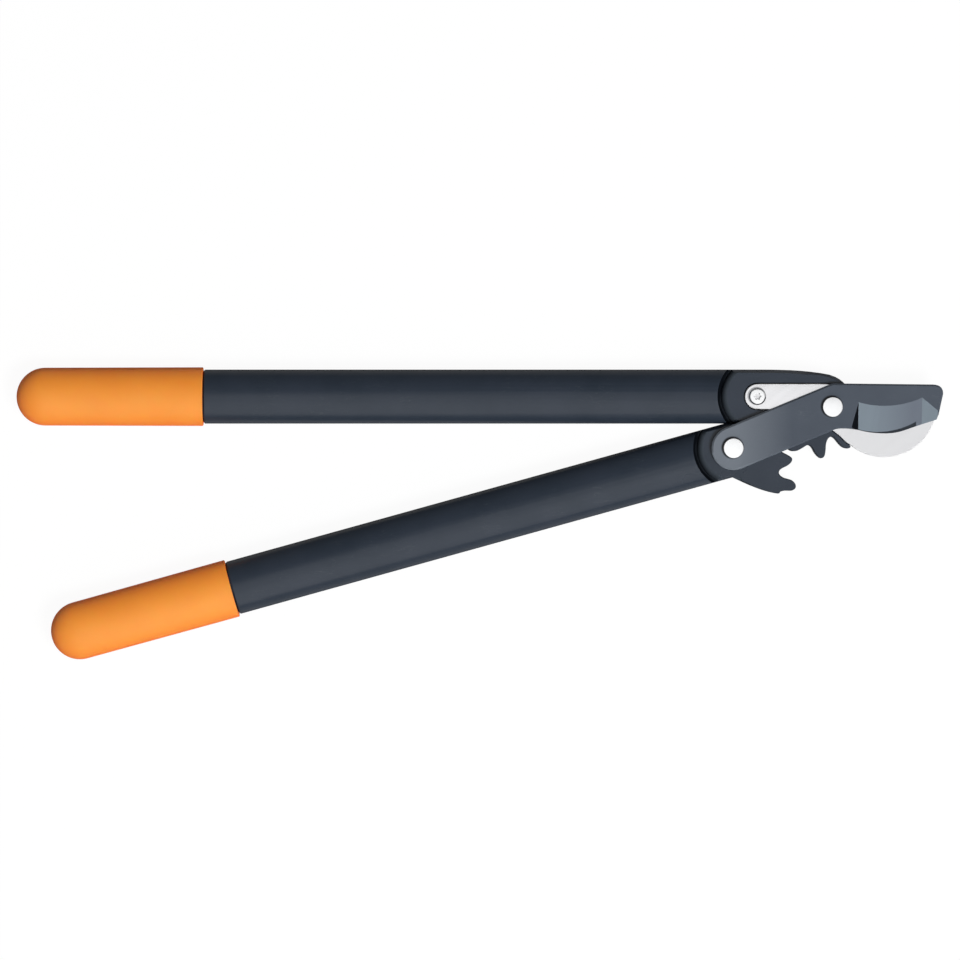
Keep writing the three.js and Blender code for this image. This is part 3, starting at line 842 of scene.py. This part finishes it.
def shank_section(bottom, seat, head, shank, core, thread, bevels, roundings):
    """The bevelled end, the thread's core and the plain shank of a bolt, up to the seat of its head."""
    neck = bottom + thread
    end = [(0, bottom), (2 * core - shank, bottom), (core, bottom + bevels[0]), (core, neck)]
    plain = [(core, neck), (shank, neck + bevels[1]), (shank, seat), (head, seat)]
    return [*softened(end, roundings[0]), *softened(plain, roundings[1])]


def pivot_bolt(node):
    head, bottom, top = turned_size(node)
    seat = top - BOLT_HEAD
    shank = shank_section(bottom, seat, head, BOLT_SHANK, BOLT_CORE, BOLT_THREAD,
                          bevels=(0.7, 0.7), roundings=(0.15, 0.12))
    crown = softened([(head, seat), (head, top), (0, top)], 0.3, steps=6)
    mesh = grow(threaded, [*shank, *crown], Around=96, Pitch=BOLT_PITCH * MM,
                Thread_radius=(BOLT_CORE + THREAD_OUT) * MM, Thread_start=(bottom + THREAD_START) * MM,
                Thread_length=(BOLT_THREAD - THREAD_STOP) * MM, Finish=bright_zinc)
    stand(mesh, node, "_turned", crease=35)


for pivot in ("main_pivot", "gear_pivot"):
    pivot_bolt(pivot + "_bolt")
    turned_ring(pivot + "_washer", bore=4.2, edge=0.3)
    spring_washer(pivot + "_spring_washer")
    nut_piece(pivot + "_nut", flats=13, bore=BOLT_SHANK, pitch=BOLT_PITCH)
    turned_ring(pivot + "_bush", bore=4.08, edge=0.3, finish=porous_bronze)
turned_ring("gear_slip_washer", bore=4.08, edge=0.2, finish=plain_nylon)

# %% [markdown]
# ## Screw of the hook
# One pan-headed screw with a six-lobed drive holds the hook's tang in its pocket. A washer and a small
# nut hold it at the back. The faces inside the drive take the dull finish of the punched recess, which
# is painted darker as painted shade.

# %% Hook screw
SCREW_HEAD, SCREW_SHANK, SCREW_CORE, SCREW_THREAD = 2.4, 2.5, 2.1, 6.5
DRIVE_RADIUS, DRIVE_DEPTH, DRIVE_REACH, DRIVE_RIM = 1.95, 2.4, 2.4, 0.05
# Each corner of the pan's crown, as a way in from its side and a way down from its top.
CROWN = [(0, 1.0), (0.15, 0.8), (0.75, 0)]


def hook_screw(node):
    head, bottom, top = turned_size(node)
    seat = top - SCREW_HEAD
    shank = shank_section(bottom, seat, head, SCREW_SHANK, SCREW_CORE, SCREW_THREAD,
                          bevels=(0.4, 0.5), roundings=(0.1, 0.1))
    crown = [(head, seat), *[(head - inset, top - drop) for inset, drop in CROWN], (0, top)]
    mesh = grow(driven, [*shank, *softened(crown, 0.25, steps=6)], Around=96,
                Drive_radius=DRIVE_RADIUS * MM, Drive_depth=DRIVE_DEPTH * MM, Drive_top=top * MM,
                Finish=bright_zinc)
    mesh.materials.clear()
    for face in mesh.polygons:
        place = face.center / MM
        punched = math.hypot(place.x, place.y) < DRIVE_REACH and seat < place.z < top - DRIVE_RIM
        face.material_index = int(punched)
    stand(mesh, node, "_turned", crease=35, finishes=[bright_zinc, recess_zinc_painted_shade])


hook_screw("hook_screw")
turned_ring("hook_screw_washer", bore=2.6, edge=0.2)
nut_piece("hook_screw_nut", flats=8, bore=SCREW_SHANK, pitch=0.8)

# %% [markdown]
# ## Handles, blade and hook
# These four have the right shape in the measured model already, but their meshes are loose triangles
# with dead flat shading. Each one gets a merged copy. Its small chamfers are shaded as roundings: flat
# faces keep their own direction, because each corner's normal is weighted by the area of its faces. The
# big flats of the heads get crisp edges, so that the pocket's short bevels can't tint them.

# %% Merged copies
MERGED_WITHIN, LEVEL_WITHIN = 1e-6, math.radians(0.4)
FLAT_AREA, FLAT_TILT, CRISP_ANGLE = 0.0005, 0.999, math.radians(20)


def merged_copy(node):
    mesh = frame["nodes"][node].data.copy()
    mesh.materials.clear()
    with opened(mesh) as work:
        bmesh.ops.remove_doubles(work, verts=work.verts, dist=MERGED_WITHIN)
        bmesh.ops.dissolve_limit(work, angle_limit=LEVEL_WITHIN, verts=work.verts, edges=work.edges)
    return creased(mesh, crease=50)


def crisp_flats(mesh):
    """Keeps a short bevel from rounding off the shading of the big level flat that it edges."""
    with opened(mesh) as work:
        for face in work.faces:
            if face.calc_area() > FLAT_AREA and abs(face.normal.z) > FLAT_TILT:
                for edge in face.edges:
                    if edge.calc_face_angle(0) > CRISP_ANGLE:
                        edge.smooth = False
    return mesh


def weighted(mesh):
    """Weights each corner's normal by the area of its faces."""
    holder = linked("holder", mesh)
    modifier = holder.modifiers.new("weighted", "WEIGHTED_NORMAL")
    modifier.keep_sharp = True
    modifier.weight = 100
    return plain_mesh(holder)


# %% [markdown]
# ### Handles
# The groove round each head takes its own nylon, painted dark as painted shade, and the mesh stores how
# far each corner lies across the groove. The lower handle rests on the upper one when the jaws are closed.
# The measured model leaves a hair's breadth between them, and the flat is moved out to close it.

# %% Groove and stop
GROOVE_START, GROOVE_WALL, HEAD_HALF, SLACK = 18 * MM, 24 * MM, 5.8 * MM, 0.1 * MM
FLOOR_TILT, WALL_FACING = 0.1, -0.8
STOP_GAP, STOP_AREA = 0.09 * MM, 0.00001


def store_groove(mesh, centre):
    """Stores on each face corner how far it lies across the groove round the head, from 0 to 1."""
    deep = mesh.attributes.new("groove", "FLOAT", "CORNER").data
    found = 0
    for face in mesh.polygons:
        corners = [mesh.vertices[i].co - centre for i in face.vertices]
        outs = [math.hypot(corner.x, corner.y) for corner in corners]
        aside = face.center - centre
        aside.z = 0
        towards = face.normal.dot(aside.normalized())
        low = all(abs(corner.z) < HEAD_HALF + SLACK / 2 for corner in corners)
        inside = min(outs) > GROOVE_START - SLACK and max(outs) < GROOVE_WALL + SLACK
        if inside and low and (abs(face.normal.z) > FLOOR_TILT or towards < WALL_FACING):
            found += 1
            face.material_index = 1
            for corner, out in zip(face.loop_indices, outs):
                deep[corner].value = (out - GROOVE_START) / (GROOVE_WALL - GROOVE_START)
    print(mesh.name, "has", found, "faces in its groove")


def close_stop(mesh):
    """Moves the flat that meets the other handle out to it."""
    flats = [face for face in mesh.polygons if face.normal.y > FLAT_TILT and face.area > STOP_AREA]
    rim = max(flats, key=lambda face: face.area).center.y
    moved = [vertex for vertex in mesh.vertices if abs(vertex.co.y - rim) < MERGED_WITHIN]
    for vertex in moved:
        vertex.co.y += STOP_GAP
    print("closed the stop at", round(rim / MM, 2), "mm with", len(moved), "corners")


# %% The two handles
def make_handle(node, centre):
    mesh = merged_copy(node)
    if node == "lower_handle":
        close_stop(mesh)
    store_groove(mesh, Vector((centre.x, centre.y, middle)))
    place_piece(weighted(crisp_flats(mesh)), node + "_body", node,
                [handle_nylon, groove_painted_shade])


make_handle("upper_handle", screw_axis)
make_handle("lower_handle", gear_pivot)

# %% [markdown]
# ### Blade and hook
# The blade shows four finishes: coating on its flats, a ground face that slopes to the edge, a narrow
# honed band along the edge, and the shoulder, painted nearly black as painted shade. How far each face
# tilts says which one it is, and the creases between them stay sharp. The hook's tilted faces are its
# filed bevels.

# %% Blade and hook
COATED, GROUND, HONED, SHOULDER_SHADE = range(4)
# How far a face's normal points up, from 0 for an upright face to 1 for a level one.
GROUND_TILT, HONED_TILT = (0.95, 0.998), (0.86, 0.95)
SHOULDER_TILT, BEVEL_TILT = (0.7, 0.85), (0.2, 0.97)
SHOULDER_LEAN, SHOULDER_END = 0.45, 0.02
RIDGE_ANGLE = math.radians(4)


def finish_of(face):
    tilt = face.normal.z
    if GROUND_TILT[0] < tilt < GROUND_TILT[1]:
        return GROUND
    at_shoulder = face.normal.x > SHOULDER_LEAN and face.calc_center_median().x < SHOULDER_END
    if SHOULDER_TILT[0] < tilt < SHOULDER_TILT[1] and at_shoulder:
        return SHOULDER_SHADE
    return HONED if HONED_TILT[0] < tilt <= HONED_TILT[1] else COATED


def make_blade():
    mesh = merged_copy("cutting_blade")
    with opened(mesh) as work:
        for face in work.faces:
            face.material_index = finish_of(face)
        for edge in work.edges:
            kinds = {face.material_index for face in edge.link_faces}
            if len(kinds) > 1 or (kinds == {GROUND} and edge.calc_face_angle(0) > RIDGE_ANGLE):
                edge.smooth = False
    place_piece(weighted(mesh), "blade_plate", "cutting_blade",
                [blade_coat, ground_steel, honed_painted_dark, shoulder_painted_shade])


def make_hook():
    mesh = weighted(merged_copy("hook"))
    for face in mesh.polygons:
        face.material_index = int(BEVEL_TILT[0] < abs(face.normal.z) < BEVEL_TILT[1])
    place_piece(mesh, "hook_plate", "hook", [belt_ground_steel, filed_steel])


make_blade()
make_hook()

# %% [markdown]
# ## Studio
# The loppers lie on a plain white floor. A wide soft lamp hangs over them and another leans to the side
# of the lower handle, so that the oval tubes are bright along their middles and dark along their far
# sides. A smaller lamp throws the short dark shadows beside the bolts and in the grooves, and no gloss
# mirrors it. One below the floor lights the underside. The sky is dim as a light, and the bright steel
# mirrors most of it towards the two ends only. The camera looks straight down with a long lens.

# %% Camera
FRAME_WIDTH, CAMERA_DISTANCE, SENSOR_WIDTH = 0.5715, 3.0, 36.0
look_at = Vector((-0.2095, -0.0434, 0.017))
camera_data = bpy.data.cameras.new("camera")
camera_data.sensor_width = SENSOR_WIDTH
camera_data.lens = SENSOR_WIDTH * CAMERA_DISTANCE / FRAME_WIDTH
camera_data.clip_end = 50.0
camera = linked("camera", camera_data)
camera.location = look_at + Vector((0, 0, CAMERA_DISTANCE))
bpy.context.scene.camera = camera
print("the lens is", round(camera_data.lens), "mm long")

# %% Lamps
LAMP_DISTANCE = 4.0


def make_lamp(name, azimuth, tilt, width, depth, brightness, mirrored=True):
    """A soft lamp at a tilt from straight above, towards an azimuth counted from +X, in degrees."""
    turn, lean = math.radians(azimuth), math.radians(tilt)
    towards = Vector((math.cos(turn) * math.sin(lean), math.sin(turn) * math.sin(lean), math.cos(lean)))
    data = bpy.data.lights.new(name, "AREA")
    data.shape = "RECTANGLE"
    data.size, data.size_y = width, depth
    data.energy = brightness * math.pi * width * depth
    lamp = linked(name, data)
    lamp.rotation_euler = (lean, 0, turn + math.pi / 2)
    lamp.location = Vector((look_at.x, 0, 0)) + towards * LAMP_DISTANCE
    lamp.visible_camera = False
    lamp.visible_glossy = mirrored
    print(name, "shines with", round(data.energy, 1), "W")


make_lamp("top_lamp", azimuth=-90, tilt=3, width=2.4, depth=1.6, brightness=1.22)
make_lamp("side_lamp", azimuth=-82, tilt=43, width=3.2, depth=4.2, brightness=1.45)
make_lamp("key_lamp", azimuth=-40, tilt=30, width=1.2, depth=1.2, brightness=28.5, mirrored=False)
make_lamp("lamp_below", azimuth=-90, tilt=180, width=3.0, depth=3.0, brightness=3.0)

# %% Sky
WHITE = (1, 1, 1, 1)


def seen_by(tree, camera_share, mirror_share):
    """How much of a plain white is seen: by the camera, and by gloss or clear stuff that mirrors it."""
    path = add(tree, "ShaderNodeLightPath").outputs
    mirrored = sum_of(tree, "MAXIMUM", path["Is Glossy Ray"], path["Is Transmission Ray"])
    return sum_of(tree, "MAXIMUM", sum_of(tree, "MULTIPLY", path["Is Camera Ray"], camera_share),
                  sum_of(tree, "MULTIPLY", mirrored, mirror_share))


def make_sky(level, side_share, end_share):
    """White to the camera, dim as a light, and mirrored brightly only towards the two ends."""
    world = bpy.data.worlds.new("sky")
    world.use_nodes = True
    tree = world.node_tree
    facing = add(tree, "ShaderNodeTexCoord").outputs["Generated"]
    along = sum_of(tree, "ABSOLUTE", parts_of(tree, facing)["X"])
    share = mapped(tree, along, 0.3, 0.6, side_share, end_share)
    strength = sum_of(tree, "MAXIMUM", seen_by(tree, 1.0, share), level)
    fill(tree, tree.nodes["Background"], {"Color": WHITE, "Strength": strength})
    bpy.context.scene.world = world


make_sky(level=0.09, side_share=0.06, end_share=0.6)

# %% [markdown]
# ## Floor
# The floor is white paper. The camera, and anything glossy or clear that mirrors the floor, sees most of
# it at plain white, and the rest of it as lit paper, which keeps a soft shadow under the loppers. Seen
# from below it is clear, and light from below passes through it.

# %% Floor
FLOOR_REACH, FLOOR_LEVEL = 4.0, -0.1 * MM
PAPER_SEEN, PAPER_AS_LIGHT = 1.0, 0.4


def make_paper():
    material, tree = start_material("white_paper", Roughness=0.9, Specular_IOR_Level=0.0)
    paper = tree.nodes["Principled BSDF"]
    path = add(tree, "ShaderNodeLightPath").outputs
    white = mapped(tree, path["Is Camera Ray"], 0.0, 1.0, PAPER_AS_LIGHT, PAPER_SEEN)
    fill(tree, paper, {"Base Color": white})
    plain = add(tree, "ShaderNodeEmission", {"Color": WHITE, "Strength": 1.0})
    shown = seen_by(tree, camera_share=0.95, mirror_share=0.05)
    lit = add(tree, "ShaderNodeMixShader", {0: shown, 1: paper, 2: plain})
    below = add(tree, "ShaderNodeNewGeometry").outputs["Backfacing"]
    clear = add(tree, "ShaderNodeBsdfTransparent")
    passed = sum_of(tree, "MAXIMUM", below, path["Is Shadow Ray"])
    one_sided = add(tree, "ShaderNodeMixShader", {0: passed, 1: lit, 2: clear})
    fill(tree, tree.nodes["Material Output"], {"Surface": one_sided})
    return material


def make_floor():
    mesh = bpy.data.meshes.new("floor")
    corners = [(-1, -1), (1, -1), (1, 1), (-1, 1)]
    mesh.from_pydata([(x * FLOOR_REACH, y * FLOOR_REACH, FLOOR_LEVEL) for x, y in corners], [],
                     [(0, 1, 2, 3)])
    mesh.materials.append(make_paper())
    linked("floor", mesh)


make_floor()
bpy.context.scene.view_settings.view_transform = "Standard"
